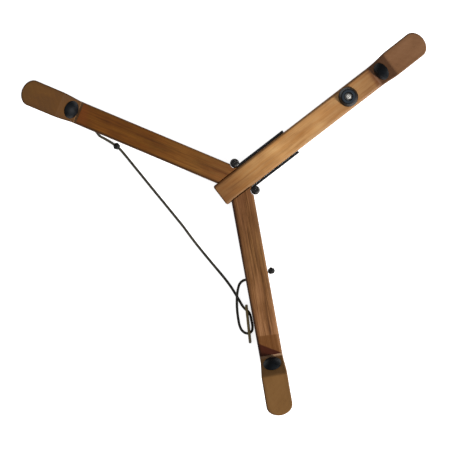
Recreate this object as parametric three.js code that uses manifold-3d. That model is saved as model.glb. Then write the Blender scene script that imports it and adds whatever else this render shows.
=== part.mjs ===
// A folding three-arm loom stand: three hardwood bars in a Y, two butt hinges at the hub, upturned cradle
// fingers with rubber bumpers at the bar ends, a rubber foot, and a cord that limits how far the arms open.
// Millimetres. The centre arm runs along +X, the left arm is on its +Y side, and +Z is up.
// The origin is on the underside of the centre arm, beside the hub.

import * as THREE from "three";
import { mergeVertices } from "three/addons/utils/BufferGeometryUtils.js";
import Module from "manifold-3d";

const wasm = await Module();
wasm.setup();

// Shared fits
const GAP = 0.3;
const CUT_PAST = 1;
const WELD = 1e-4;

// Bars
const BAR = 25.4;
const HALF = BAR / 2;
const BAR_EDGE = 3.6;
const BAR_END_BEVEL = 0.7;
const BEVEL_STEPS = 2;
const CENTRE_INNER = -27;
const CENTRE_OUTER = 187;
const LEFT_OUTER = 179;
const RIGHT_OUTER = 182;
const MITRE_LENGTH = 45;
const MITRE_GAP = 0.5;

// Hinges: the pins stand beside the centre arm
const PIN_X = 7.8;
const PIN_OUT = 6.1;
const ARM_OFFSET = 15.5;
const LEFT_ANGLE = THREE.MathUtils.degToRad(119.6);
const RIGHT_ANGLE = THREE.MathUtils.degToRad(-117.3);
const LEAF_THICK = 2.5;
const LEAF_HEIGHT = 21;
const FIXED_LEAF_LENGTH = 63.7;
const MOVING_LEAF_LENGTH = 25;
const KNUCKLE_R = 5;
const KNUCKLE_GAP = 0.3;
const MOVING_KNUCKLE = 6.8;
const PIN_R = 2;
const PIN_BORE_R = 2.25;
const PIN_HEAD_R = 4.4;
const PIN_HEAD = 0.9;
const PIN_HEAD_FLAT = 0.7;
const PIN_HEAD_EDGE = 0.4;
const LEAF_NOTCH = KNUCKLE_R + GAP;
const WOOD_CLEARANCE_R = 5.5;

// Hinge screws
const SCREW_R = 1.5;
const SCREW_TIP = 1.5 * SCREW_R;
const SCREW_HEAD_R = 3.2;
const SCREW_HEAD = 1.8;
const SCREW_HEAD_RIM = 0.2;
const FIXED_SCREW_LENGTH = 10.8;
const MOVING_SCREW_LENGTH = 16;
const FIXED_SCREW_X = [14.5, 34.5, 54.5];
const MOVING_SCREW_X = [-12, -20.5];
const CROSS_REACH = 0.62;
const CROSS_WIDTH = 0.8;
const CROSS_DEPTH = 0.9;

// End blocks: a throat that faces the hub and a paddle that carries on outward
const BLOCK_TOP = 23.4;
const BLOCK_BOTTOM = 0.6;
const LANDING = 2.3;
const THROAT_RUN = 18;
const THROAT_RISE = 22;
const PADDLE_RUN = 42.5;
const PADDLE_RISE = 17;
const PADDLE_THICK = 12;
const HEEL = 9;
const UNDER_BLEND = 9;
const PADDLE_WIDTH = 28.6;
const TIP_LENGTH = 10.5;
const FLARE_START = LANDING + 2;
const FLARE_END = LANDING + THROAT_RUN + 3;
const FLARE_EASE = 6;
const DOWEL_R = 3;
const DOWEL_LENGTH = 20;
const DOWEL_CHAMFER = 0.6;
const DOWEL_Y = 6;
const DOWEL_Z = 10;

// Rubber bumpers, top foot and its screw
const BUMPER_R = 10;
const BUMPER_HEIGHT = 5.5;
const BUMPER_RIM = 0.9;
const BUMPER_AT = 0.39;
const BUMPER_STEPS = 7;
const STEM_R = 3;
const STEM_LENGTH = 8;
const FOOT_X = 151;
const FOOT_BASE_R = 10.8;
const FOOT_TOP_R = 8;
const FOOT_HEIGHT = 9.5;
const FOOT_RIM = 1.6;
const FOOT_SHOULDER = 0.4;
const FOOT_EDGE = 1;
const RECESS_R = 4.3;
const RECESS_DEPTH = 5;
const RECESS_EDGE = 0.3;
const WASHER_R = 3.9;
const WASHER_THICK = 0.8;
const FOOT_SCREW_HEAD_R = 3.3;
const FOOT_SCREW_HEAD = 2.4;
const FOOT_SCREW_LENGTH = 18;
// A pan head's outline, as shares of its radius and height.
const PAN_HEAD = [[1, 0], [1, 0.45], [0.8, 0.85], [0.4, 1]];

// Cord, knots and toggle
const CORD_R = 1.5;
const CORD_HOLE_R = CORD_R + 0.4;
const CORD_SIDES = 8;
const CORD_STEP = 5.8;
const LYING = CORD_R + 0.15;
const ROUTE_DIVISIONS = 1000;
const ANCHOR_KNOT_R = 4;
const ANCHOR_KNOT_AT = [129.4, 18, 4.1];
const STOPPER_KNOT_R = 3.8;
const STOPPER_KNOT_AT = [91.2, 16.9, 12.7];
const KNOT_RINGS = 8;
const KNOT_WAIST = 0.93;
const TOGGLE_LENGTH = 43;
const TOGGLE_THICK = 3;
const TOGGLE_HEIGHT = 11;
const TOGGLE_LIFT = 0.2;
const TOGGLE_END_R = 1.2;

const CURVE_STEPS = 4;
const ROUND_SIDES = 20;
const SCREW_SIDES = 12;

const LOOKS = {
  centreWood: { color: 0xb8895a, roughness: 0.55, metalness: 0 },
  leftWood: { color: 0x714b26, roughness: 0.6, metalness: 0 },
  rightWood: { color: 0x83603f, roughness: 0.6, metalness: 0 },
  paddleWood: { color: 0x845f41, roughness: 0.75, metalness: 0 },
  dowelWood: { color: 0xc8a878, roughness: 0.7, metalness: 0 },
  toggleWood: { color: 0x786c50, roughness: 0.6, metalness: 0 },
  rubber: { color: 0x14161a, roughness: 0.55, metalness: 0 },
  blackSteel: { color: 0x0c0b0a, roughness: 0.4, metalness: 0.6 },
  brightSteel: { color: 0xc9c9c6, roughness: 0.25, metalness: 1 },
  cord: { color: 0x2a281e, roughness: 0.9, metalness: 0 },
};

// ---- Small helpers -------------------------------------------------------------------------------------

function solid(geometry) {
  const bare = geometry.index ? geometry.toNonIndexed() : geometry.clone();
  bare.deleteAttribute("normal");
  bare.deleteAttribute("uv");
  const merged = mergeVertices(bare, WELD);
  const vertProperties = new Float32Array(merged.attributes.position.array);
  const triVerts = new Uint32Array(merged.index.array);
  return new wasm.Manifold(new wasm.Mesh({ numProp: 3, vertProperties, triVerts }));
}

function geometryOf(manifold) {
  const mesh = manifold.getMesh();
  const geometry = new THREE.BufferGeometry();
  geometry.setAttribute("position", new THREE.BufferAttribute(mesh.vertProperties, 3));
  geometry.setIndex(new THREE.BufferAttribute(mesh.triVerts, 1));
  geometry.computeVertexNormals();
  return geometry;
}

function cut(geometry, ...cutters) {
  return geometryOf(cutters.reduce((body, cutter) => body.subtract(solid(cutter)), solid(geometry)));
}

function join(...geometries) {
  return geometryOf(geometries.map(solid).reduce((body, other) => body.add(other)));
}

function common(first, second) {
  return geometryOf(solid(first).intersect(solid(second)));
}

// Axes of a frame whose third axis is the extrusion: a shape's x and y go to the first two.
function turned(geometry, xAxis, yAxis, zAxis) {
  return geometry.applyMatrix4(new THREE.Matrix4().makeBasis(xAxis, yAxis, zAxis));
}

const X = new THREE.Vector3(1, 0, 0);
const Y = new THREE.Vector3(0, 1, 0);
const Z = new THREE.Vector3(0, 0, 1);

function box(x0, x1, y0, y1, z0, z1) {
  const geometry = new THREE.BoxGeometry(x1 - x0, y1 - y0, z1 - z0);
  return geometry.translate((x0 + x1) / 2, (y0 + y1) / 2, (z0 + z1) / 2);
}

// A round solid from [radius, height] points, with its axis along Z.
function turnedOnZ(profile, sides = ROUND_SIDES) {
  const points = profile.map(([radius, height]) => new THREE.Vector2(radius, height));
  return new THREE.LatheGeometry(points, sides).rotateX(Math.PI / 2);
}

function cylinderZ(radius, z0, z1, sides = ROUND_SIDES) {
  return turnedOnZ([[0, z0], [radius, z0], [radius, z1], [0, z1]], sides);
}

// Turns a solid that stands on +Z so that it points along another direction.
function pointed(geometry, direction) {
  const turn = new THREE.Quaternion().setFromUnitVectors(Z, direction.clone().normalize());
  return geometry.applyQuaternion(turn);
}

function roundedRectangle(width, height, radius) {
  const w = width / 2;
  const h = height / 2;
  const shape = new THREE.Shape();
  shape.absarc(w - radius, h - radius, radius, 0, Math.PI / 2);
  shape.absarc(-w + radius, h - radius, radius, Math.PI / 2, Math.PI);
  shape.absarc(-w + radius, -h + radius, radius, Math.PI, 1.5 * Math.PI);
  shape.absarc(w - radius, -h + radius, radius, 1.5 * Math.PI, 2 * Math.PI);
  return shape;
}

function named(name, geometry, look) {
  const mesh = new THREE.Mesh(geometry, new THREE.MeshStandardMaterial(LOOKS[look]));
  mesh.name = name;
  return mesh;
}

// Copies a solid from one group's frame into another's.
function between(geometry, from, to) {
  const back = to.matrixWorld.clone().invert();
  return geometry.clone().applyMatrix4(from.matrixWorld).applyMatrix4(back);
}

// ---- The frames of the three arms and the two hinges ----------------------------------------------------

const stand = new THREE.Group();

function armGroup(angle, pinSide) {
  const group = new THREE.Group();
  const across = new THREE.Vector3(-Math.sin(angle), Math.cos(angle), 0);
  const pin = new THREE.Vector3(PIN_X, -pinSide * (HALF + PIN_OUT), 0);
  group.position.copy(pin).addScaledVector(across, -pinSide * ARM_OFFSET);
  group.rotation.z = angle;
  stand.add(group);
  return group;
}

function hingeGroup(side) {
  const group = new THREE.Group();
  group.position.set(PIN_X, side * (HALF + PIN_OUT), HALF);
  group.rotation.x = side > 0 ? 0 : Math.PI;
  stand.add(group);
  return group;
}

const centre = new THREE.Group();
stand.add(centre);
const left = armGroup(LEFT_ANGLE, -1);
const right = armGroup(RIGHT_ANGLE, 1);
const leftHinge = hingeGroup(1);
const rightHinge = hingeGroup(-1);
stand.updateMatrixWorld(true);

// ---- Hinges ---------------------------------------------------------------------------------------------
// In a hinge's frame the pin is the Z axis through the origin, +X runs out along the centre arm, +Y points
// away from it, and the leaves lie in the seam beside the centre arm.

const LEAF_NEAR = -PIN_OUT + GAP;
const LEAF_FAR = LEAF_NEAR + LEAF_THICK;
const LEAF_TOP = LEAF_HEIGHT / 2;
const INNER_KNUCKLE = MOVING_KNUCKLE / 2 + KNUCKLE_GAP;

// A flat-headed screw with its head's face at z = 0 and its shank along -Z.
function flatHeadScrew(length, spare = 0) {
  const shank = SCREW_R + spare;
  return turnedOnZ([
    [0, -length - spare],
    [shank, -length + SCREW_TIP - spare],
    [shank, -SCREW_HEAD],
    [SCREW_HEAD_R + spare, spare > 0 ? 0 : -SCREW_HEAD_RIM],
    [SCREW_HEAD_R + spare, spare > 0 ? CUT_PAST : 0],
    [0, spare > 0 ? CUT_PAST : 0],
  ], SCREW_SIDES);
}

function crossRecess(headRadius, top) {
  const reach = headRadius * CROSS_REACH;
  const half = CROSS_WIDTH / 2;
  return join(
    box(-reach, reach, -half, half, top - CROSS_DEPTH, top + CUT_PAST),
    box(-half, half, -reach, reach, top - CROSS_DEPTH, top + CUT_PAST),
  );
}

// Fixed-leaf screws point at the centre arm, and moving-leaf screws point away from it.
function screwPlaces() {
  const fixed = FIXED_SCREW_X.map((x) => ({
    x, y: LEAF_FAR, into: Y.clone().negate(), length: FIXED_SCREW_LENGTH,
  }));
  const moving = MOVING_SCREW_X.map((x) => ({
    x, y: LEAF_NEAR, into: Y.clone(), length: MOVING_SCREW_LENGTH,
  }));
  return { fixed, moving };
}

function screwAt(place, geometry) {
  return pointed(geometry, place.into.clone().negate()).translate(place.x, place.y, 0);
}

function screwHole(place) {
  return screwAt(place, flatHeadScrew(place.length, GAP));
}

function hingeScrew(place) {
  return screwAt(place, cut(flatHeadScrew(place.length), crossRecess(SCREW_HEAD_R, 0)));
}

function fixedLeaf() {
  const plate = box(0, FIXED_LEAF_LENGTH, LEAF_NEAR, LEAF_FAR, -LEAF_TOP, LEAF_TOP);
  const barrel = cylinderZ(KNUCKLE_R, -LEAF_TOP, LEAF_TOP);
  const past = LEAF_NOTCH + CUT_PAST;
  const notch = box(-LEAF_NOTCH, LEAF_NOTCH, -past, LEAF_NOTCH, -INNER_KNUCKLE, INNER_KNUCKLE);
  const bore = cylinderZ(PIN_BORE_R, -LEAF_TOP - CUT_PAST, LEAF_TOP + CUT_PAST);
  return cut(join(plate, barrel), notch, bore, ...screwPlaces().fixed.map(screwHole));
}

function movingLeaf() {
  const knuckle = MOVING_KNUCKLE / 2;
  const plate = box(-MOVING_LEAF_LENGTH, 0, LEAF_NEAR, LEAF_FAR, -LEAF_TOP, LEAF_TOP);
  const notch = (z0, z1) => box(-LEAF_NOTCH, CUT_PAST, LEAF_NEAR - CUT_PAST, LEAF_FAR + CUT_PAST, z0, z1);
  const trimmed = cut(plate, notch(knuckle, LEAF_TOP + CUT_PAST), notch(-LEAF_TOP - CUT_PAST, -knuckle));
  const barrel = cylinderZ(KNUCKLE_R, -knuckle, knuckle);
  const bore = cylinderZ(PIN_BORE_R, -knuckle - CUT_PAST, knuckle + CUT_PAST);
  return cut(join(trimmed, barrel), bore, ...screwPlaces().moving.map(screwHole));
}

// The pin has a low round head at each end, a gap clear of the knuckles.
function hingePin() {
  const seat = LEAF_TOP + GAP;
  const end = seat + PIN_HEAD;
  return turnedOnZ([
    [0, -end],
    [PIN_HEAD_R * PIN_HEAD_FLAT, -end],
    [PIN_HEAD_R, -seat - PIN_HEAD * PIN_HEAD_EDGE],
    [PIN_HEAD_R, -seat],
    [PIN_R, -seat],
    [PIN_R, seat],
    [PIN_HEAD_R, seat],
    [PIN_HEAD_R, seat + PIN_HEAD * PIN_HEAD_EDGE],
    [PIN_HEAD_R * PIN_HEAD_FLAT, end],
    [0, end],
  ]);
}

function addHinge(group, side) {
  group.add(named(`${side}_hinge_fixed_leaf`, fixedLeaf(), "blackSteel"));
  group.add(named(`${side}_hinge_moving_leaf`, movingLeaf(), "blackSteel"));
  group.add(named(`${side}_hinge_pin`, hingePin(), "blackSteel"));
  const { fixed, moving } = screwPlaces();
  fixed.forEach((place, i) => {
    group.add(named(`${side}_fixed_leaf_screw_${i + 1}`, hingeScrew(place), "blackSteel"));
  });
  moving.forEach((place, i) => {
    group.add(named(`${side}_moving_leaf_screw_${i + 1}`, hingeScrew(place), "blackSteel"));
  });
}

addHinge(leftHinge, "left");
addHinge(rightHinge, "right");

// ---- Bars -----------------------------------------------------------------------------------------------

function bar(inner, outer) {
  const shape = roundedRectangle(BAR, BAR, BAR_EDGE);
  const long = outer - inner - 2 * BAR_END_BEVEL;
  const geometry = new THREE.ExtrudeGeometry(shape, {
    depth: long,
    curveSegments: CURVE_STEPS,
    bevelThickness: BAR_END_BEVEL,
    bevelSize: BAR_END_BEVEL,
    bevelOffset: -BAR_END_BEVEL,
    bevelSegments: BEVEL_STEPS,
  });
  turned(geometry, Y, Z, X);
  return geometry.translate(inner + BAR_END_BEVEL, 0, HALF);
}

function dowelHoles(outer) {
  const deep = DOWEL_LENGTH / 2 + GAP;
  return [-DOWEL_Y, DOWEL_Y].map((y) => {
    const hole = cylinderZ(DOWEL_R + GAP, -deep, deep + GAP, SCREW_SIDES);
    return pointed(hole, X).translate(outer, y, DOWEL_Z);
  });
}

function centreBar() {
  const pilots = [leftHinge, rightHinge].flatMap((hinge) => (
    screwPlaces().fixed.map((place) => between(screwHole(place), hinge, centre))
  ));
  const footPilot = cylinderZ(SCREW_R + GAP, BAR - FOOT_SCREW_LENGTH, BAR + CUT_PAST, SCREW_SIDES);
  footPilot.translate(FOOT_X, 0, 0);
  return cut(bar(CENTRE_INNER, CENTRE_OUTER), ...pilots, footPilot, ...dowelHoles(CENTRE_OUTER));
}

// A folding arm's bar ends in a mitre beside the centre arm, with a pocket for the moving leaf and a round
// clearance for the knuckles.
function foldingBar(outer, arm, hinge, cordHole) {
  const face = -PIN_OUT + MITRE_GAP;
  const mitre = box(-MITRE_LENGTH, MITRE_LENGTH, face - 2 * MITRE_LENGTH, face, -BAR, BAR);
  const leafEnd = MOVING_LEAF_LENGTH + GAP;
  const pocket = box(-leafEnd, 0, -PIN_OUT, LEAF_FAR + GAP, -LEAF_TOP - GAP, LEAF_TOP + GAP);
  const knuckleRoom = cylinderZ(WOOD_CLEARANCE_R, -BAR, BAR);
  const pilots = screwPlaces().moving.map(screwHole);
  const cutters = [mitre, pocket, knuckleRoom, ...pilots].map((cutter) => between(cutter, hinge, arm));
  return cut(bar(-MITRE_LENGTH / 2, outer), ...cutters, cordHole, ...dowelHoles(outer));
}

// ---- End blocks, dowels and bumpers ---------------------------------------------------------------------

// The side outline, from the joint face outward; x is the run from the bar's end and y is the height.
function blockSide() {
  const slope = PADDLE_RISE / PADDLE_RUN;
  const throatSlope = THROAT_RISE / THROAT_RUN;
  const creaseX = LANDING + THROAT_RUN;
  const creaseZ = BLOCK_TOP + THROAT_RISE;
  const tipX = creaseX + PADDLE_RUN;
  const drop = PADDLE_THICK * Math.hypot(1, slope);
  const under = (x) => creaseZ - drop + slope * (x - creaseX);
  // Where the heel's slope, parallel to the throat, meets the paddle's underside.
  const meetX = (under(0) - BLOCK_BOTTOM + throatSlope * HEEL) / (throatSlope - slope);
  const shape = new THREE.Shape();
  shape.moveTo(GAP, BLOCK_BOTTOM);
  shape.lineTo(HEEL, BLOCK_BOTTOM);
  shape.lineTo(meetX - UNDER_BLEND, under(meetX) - throatSlope * UNDER_BLEND);
  shape.quadraticCurveTo(meetX, under(meetX), meetX + UNDER_BLEND, under(meetX + UNDER_BLEND));
  shape.lineTo(tipX, under(tipX));
  shape.lineTo(tipX, BLOCK_TOP + THROAT_RISE + PADDLE_RISE);
  shape.lineTo(creaseX, creaseZ);
  shape.lineTo(LANDING, BLOCK_TOP);
  shape.lineTo(GAP, BLOCK_TOP);
  return shape;
}

// The outline from above: as wide as the bar at the joint, wider at the paddle, with a round tip.
function blockPlan() {
  const wide = PADDLE_WIDTH / 2;
  const straightEnd = LANDING + THROAT_RUN + PADDLE_RUN - TIP_LENGTH;
  const shape = new THREE.Shape();
  shape.moveTo(0, -HALF);
  shape.lineTo(FLARE_START, -HALF);
  shape.bezierCurveTo(FLARE_START + FLARE_EASE, -HALF, FLARE_END - FLARE_EASE, -wide, FLARE_END, -wide);
  shape.lineTo(straightEnd, -wide);
  shape.absellipse(straightEnd, 0, TIP_LENGTH, wide, -Math.PI / 2, Math.PI / 2);
  shape.lineTo(FLARE_END, wide);
  shape.bezierCurveTo(FLARE_END - FLARE_EASE, wide, FLARE_START + FLARE_EASE, HALF, FLARE_START, HALF);
  shape.lineTo(0, HALF);
  return shape;
}

const THROAT_NORMAL = new THREE.Vector3(-THROAT_RISE, 0, THROAT_RUN).normalize();

function bumperPlace(outer) {
  const x = outer + LANDING + THROAT_RUN * BUMPER_AT;
  return new THREE.Vector3(x, 0, BLOCK_TOP + THROAT_RISE * BUMPER_AT);
}

function endBlock(outer) {
  const side = new THREE.ExtrudeGeometry(blockSide(), {
    depth: 2 * PADDLE_WIDTH,
    curveSegments: CURVE_STEPS,
    bevelEnabled: false,
  });
  turned(side, X, Z, Y.clone().negate()).translate(0, PADDLE_WIDTH, 0);
  const plan = new THREE.ExtrudeGeometry(blockPlan(), {
    depth: 4 * BAR,
    curveSegments: 2 * CURVE_STEPS,
    bevelEnabled: false,
  });
  const block = common(side, plan).translate(outer, 0, 0);
  const stemHole = pointed(cylinderZ(STEM_R + GAP, -STEM_LENGTH - GAP, CUT_PAST), THROAT_NORMAL);
  const at = bumperPlace(outer);
  stemHole.translate(at.x, at.y, at.z);
  return cut(block, stemHole, ...dowelHoles(outer));
}

function dowel(outer, y) {
  const end = DOWEL_LENGTH / 2;
  const peg = turnedOnZ([
    [0, -end],
    [DOWEL_R - DOWEL_CHAMFER, -end],
    [DOWEL_R, -end + DOWEL_CHAMFER],
    [DOWEL_R, end - DOWEL_CHAMFER],
    [DOWEL_R - DOWEL_CHAMFER, end],
    [0, end],
  ], SCREW_SIDES);
  return pointed(peg, X).translate(outer + GAP / 2, y, DOWEL_Z);
}

// A low dome on a stem. Its flat base stands a gap off the throat.
function bumper(outer) {
  const cap = BUMPER_HEIGHT - BUMPER_RIM;
  const sphere = (BUMPER_R ** 2 + cap ** 2) / (2 * cap);
  const spread = Math.asin(BUMPER_R / sphere);
  const profile = [[0, -STEM_LENGTH], [STEM_R, -STEM_LENGTH], [STEM_R, GAP], [BUMPER_R, GAP]];
  for (let i = 0; i <= BUMPER_STEPS; i += 1) {
    const angle = spread * (1 - i / BUMPER_STEPS);
    const height = BUMPER_RIM + cap - sphere * (1 - Math.cos(angle));
    profile.push([i === BUMPER_STEPS ? 0 : sphere * Math.sin(angle), height]);
  }
  const at = bumperPlace(outer);
  return pointed(turnedOnZ(profile), THROAT_NORMAL).translate(at.x, at.y, at.z);
}

function addArmEnd(group, side, outer) {
  group.add(named(`${side}_end_block`, endBlock(outer), "paddleWood"));
  group.add(named(`${side}_dowel_1`, dowel(outer, -DOWEL_Y), "dowelWood"));
  group.add(named(`${side}_dowel_2`, dowel(outer, DOWEL_Y), "dowelWood"));
  group.add(named(`${side}_bumper`, bumper(outer), "rubber"));
}

// ---- Foot on the centre arm, with its washer and screw --------------------------------------------------

function topFoot() {
  const recess = FOOT_HEIGHT - RECESS_DEPTH;
  const hole = SCREW_R + GAP;
  const foot = turnedOnZ([
    [hole, GAP],
    [FOOT_BASE_R, GAP],
    [FOOT_BASE_R, GAP + FOOT_RIM],
    [FOOT_TOP_R + FOOT_SHOULDER, FOOT_HEIGHT - FOOT_EDGE],
    [FOOT_TOP_R - FOOT_SHOULDER, FOOT_HEIGHT],
    [RECESS_R + RECESS_EDGE, FOOT_HEIGHT],
    [RECESS_R, FOOT_HEIGHT - RECESS_EDGE],
    [RECESS_R, recess],
    [hole, recess],
    [hole, GAP],
  ]);
  return foot.translate(FOOT_X, 0, BAR);
}

function footWasher() {
  const base = BAR + FOOT_HEIGHT - RECESS_DEPTH + GAP;
  const hole = SCREW_R + GAP;
  const washer = turnedOnZ([
    [hole, 0],
    [WASHER_R, 0],
    [WASHER_R, WASHER_THICK],
    [hole, WASHER_THICK],
    [hole, 0],
  ]);
  return washer.translate(FOOT_X, 0, base);
}

function footScrew() {
  const seat = BAR + FOOT_HEIGHT - RECESS_DEPTH + WASHER_THICK + 2 * GAP;
  const screw = turnedOnZ([
    [0, -FOOT_SCREW_LENGTH],
    [SCREW_R, -FOOT_SCREW_LENGTH + SCREW_TIP],
    [SCREW_R, 0],
    ...PAN_HEAD.map(([across, up]) => [FOOT_SCREW_HEAD_R * across, FOOT_SCREW_HEAD * up]),
    [0, FOOT_SCREW_HEAD],
  ], ROUND_SIDES);
  return cut(screw, crossRecess(FOOT_SCREW_HEAD_R, FOOT_SCREW_HEAD)).translate(FOOT_X, 0, seat);
}

// ---- Cord, knots and toggle -----------------------------------------------------------------------------
// The routes are in the folding arms' own frames: x out from the pin, y across, z up.

const LEFT_STRAND = [
  [162.7, 7.7, 12.7],
  [154, 12.7, 12.7],
  [150, 14.75, 12.4],
  [144, 15.4, 10.8],
  [138.5, 16.2, 8],
  [133.6, 17.1, 5.4],
];
const LEFT_LINE = [
  [125.2, 19.4, 3.6],
  [118, 23, 2],
  [108, 28.3, LYING],
  [93, 36.3, LYING],
  [77.4, 44.6, LYING],
  [60, 53.8, LYING],
  [43, 62.8, LYING],
  [25.7, 72, LYING],
];
const RIGHT_LINE = [
  [91.9, 12.9, 12.7],
  [94, 0, 12.7],
  [96, -12.7, 12.7],
  [96.6, -16.2, 12.6],
  [99.3, -20.2, 11.7],
  [104.8, -23.2, 9.4],
  [111, -25.4, 6.5],
  [117.5, -26.9, 4.5],
  [125, -28.2, 2.4],
  [132, -28.9, LYING],
  [139, -29.2, LYING],
  [146, -29, LYING],
  [151.2, -27.6, 1.9],
  [155, -24.2, 3],
  [156, -20, 4.2],
  [153.8, -16.4, 5.1],
  [149.3, -14.9, 5.5],
  [142, -14.8, 5.5],
  [136, -15.1, 5.4],
  [132, -16.5, 5.2],
  [129, -19, 4.8],
  [125.6, -21.4, 3.9],
  [119, -24, 2.2],
  [112, -26.6, LYING],
  [102, -30.6, LYING],
  [91.4, -35.8, LYING],
  [73, -46.2, LYING],
  [54.2, -56.7, LYING],
  [40, -64.2, LYING],
];

function tube(curve, radius, steps) {
  const ring = [];
  for (let i = 0; i < CORD_SIDES; i += 1) {
    const angle = (2 * Math.PI * i) / CORD_SIDES;
    ring.push(new THREE.Vector2(radius * Math.cos(angle), radius * Math.sin(angle)));
  }
  const section = new THREE.Shape(ring);
  return new THREE.ExtrudeGeometry(section, { steps, extrudePath: curve, bevelEnabled: false });
}

function routed(points) {
  const curve = new THREE.CatmullRomCurve3(points.map((point) => new THREE.Vector3(...point)));
  curve.arcLengthDivisions = ROUTE_DIVISIONS;
  return { curve, steps: Math.round(curve.getLength() / CORD_STEP) };
}

function cordAlong(points) {
  const { curve, steps } = routed(points);
  return tube(curve, CORD_R, steps);
}

function cordRoom(points) {
  const { curve, steps } = routed(points);
  return tube(curve, CORD_HOLE_R, steps);
}

// The right line ends where the left one does, in the middle of the open side.
function rightLine() {
  const last = new THREE.Vector3(...LEFT_LINE.at(-1));
  const meeting = right.worldToLocal(left.localToWorld(last));
  const before = new THREE.Vector3(...RIGHT_LINE.at(-1));
  const pullBack = before.sub(meeting).setLength(GAP);
  return [...RIGHT_LINE, meeting.add(pullBack).toArray()];
}

// A knot is a lumpy ball: a sphere with two shallow waists.
function knot(radius, at) {
  const profile = [];
  for (let i = 0; i <= KNOT_RINGS; i += 1) {
    const angle = Math.PI * (i / KNOT_RINGS - 0.5);
    const waist = i % 3 === 1 ? KNOT_WAIST : 1;
    profile.push([i % KNOT_RINGS === 0 ? 0 : radius * waist * Math.cos(angle), radius * Math.sin(angle)]);
  }
  return turnedOnZ(profile, SCREW_SIDES).rotateX(Math.PI / 2).translate(...at);
}

// A thin slat on edge beside the right arm, with two slanting holes that the cord runs through.
const TOGGLE_START = new THREE.Vector3(124, -17.4, 0);
const TOGGLE_TURN = THREE.MathUtils.degToRad(-4.3);

function toggle() {
  const shape = roundedRectangle(TOGGLE_LENGTH, TOGGLE_THICK, TOGGLE_END_R);
  const slat = new THREE.ExtrudeGeometry(shape, {
    depth: TOGGLE_HEIGHT,
    curveSegments: CURVE_STEPS,
    bevelEnabled: false,
  });
  slat.translate(TOGGLE_LENGTH / 2, 0, TOGGLE_LIFT);
  slat.rotateZ(TOGGLE_TURN);
  slat.translate(TOGGLE_START.x, TOGGLE_START.y, 0);
  return cut(slat, cordRoom(rightLine()));
}

// ---- Assembly -------------------------------------------------------------------------------------------

centre.add(named("centre_arm_bar", centreBar(), "centreWood"));
addArmEnd(centre, "centre", CENTRE_OUTER);
centre.add(named("top_foot", topFoot(), "rubber"));
centre.add(named("top_foot_washer", footWasher(), "brightSteel"));
centre.add(named("top_foot_screw", footScrew(), "brightSteel"));

const leftBar = foldingBar(LEFT_OUTER, left, leftHinge, cordRoom(LEFT_STRAND));
left.add(named("left_arm_bar", leftBar, "leftWood"));
addArmEnd(left, "left", LEFT_OUTER);
left.add(named("cord_strand", cordAlong(LEFT_STRAND), "cord"));
left.add(named("anchor_knot", knot(ANCHOR_KNOT_R, ANCHOR_KNOT_AT), "cord"));
left.add(named("cord_left", cordAlong(LEFT_LINE), "cord"));

const rightBar = foldingBar(RIGHT_OUTER, right, rightHinge, cordRoom(rightLine()));
right.add(named("right_arm_bar", rightBar, "rightWood"));
addArmEnd(right, "right", RIGHT_OUTER);
right.add(named("stopper_knot", knot(STOPPER_KNOT_R, STOPPER_KNOT_AT), "cord"));
right.add(named("cord_right", cordAlong(rightLine()), "cord"));
right.add(named("toggle", toggle(), "toggleWood"));

export default stand;
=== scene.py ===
import math

import bmesh
import bpy
from mathutils import Matrix, Vector, noise

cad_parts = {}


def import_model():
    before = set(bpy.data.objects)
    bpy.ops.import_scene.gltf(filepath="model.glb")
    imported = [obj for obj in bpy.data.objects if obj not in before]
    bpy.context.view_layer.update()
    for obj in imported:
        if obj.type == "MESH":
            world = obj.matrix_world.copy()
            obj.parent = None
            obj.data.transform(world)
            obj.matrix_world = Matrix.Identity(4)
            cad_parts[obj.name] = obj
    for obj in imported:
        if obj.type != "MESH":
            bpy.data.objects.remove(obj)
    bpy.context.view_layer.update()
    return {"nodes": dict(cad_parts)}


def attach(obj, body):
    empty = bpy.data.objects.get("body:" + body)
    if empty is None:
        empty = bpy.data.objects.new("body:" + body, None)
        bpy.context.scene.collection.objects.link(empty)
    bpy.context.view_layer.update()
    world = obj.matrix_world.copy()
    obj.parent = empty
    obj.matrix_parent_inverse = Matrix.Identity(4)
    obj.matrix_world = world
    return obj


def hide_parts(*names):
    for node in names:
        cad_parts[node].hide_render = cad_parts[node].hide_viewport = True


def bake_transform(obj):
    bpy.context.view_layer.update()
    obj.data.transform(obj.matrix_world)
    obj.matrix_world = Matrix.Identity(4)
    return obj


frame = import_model()

MM = 0.001

# ---- The CAD part's dimensions, in millimetres ----------------

HALF = 12.7
BAR = 25.4
BAR_EDGE = 3.6
CENTRE_INNER = -27
CENTRE_OUTER = 187
LEFT_OUTER = 179
RIGHT_OUTER = 182
FOLDING_INNER = -22.5
KNUCKLE_ROOM = 5.5
# Start in x, near and far side in y, low and high in z
LEAF_POCKET = (-17.5, 12.7, 15.8, 1.9, 23.5)

PIN = (7.8, 18.8)
ARM_OFFSET = 15.5
LEFT_ANGLE = math.radians(119.6)
RIGHT_ANGLE = math.radians(-117.3)
LEAF_LOW = 2.2
LEAF_HIGH = 23.2
PIN_R = 2

GAP = 0.3
BLOCK_TOP = 23.4
BLOCK_BOTTOM = 0.6
LANDING = 2.3
THROAT_RUN = 18
THROAT_RISE = 22
PADDLE_RUN = 42.5
PADDLE_RISE = 17
PADDLE_THICK = 12
HEEL = 9
UNDER_BLEND = 9
PADDLE_HALF = 14.3
TIP_LENGTH = 10.5
DOWEL_R = 3
DOWEL_DEEP = 10.3
DOWEL_Y = 6
DOWEL_Z = 10
# The bumper's place up the throat, from 0 at the landing to 1 at the crease
BUMPER_AT = 0.39
BUMPER_R = 10
BUMPER_HEIGHT = 5.5
STEM_R = 3
STEM_LENGTH = 8

FOOT_X = 151
FOOT_HEIGHT = 9.5
FOOT_RECESS = 5

CORD_R = 1.5
CORD_ROOM = 1.9
# The height of the middle of a cord that lies on the table
LYING = 1.65
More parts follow.
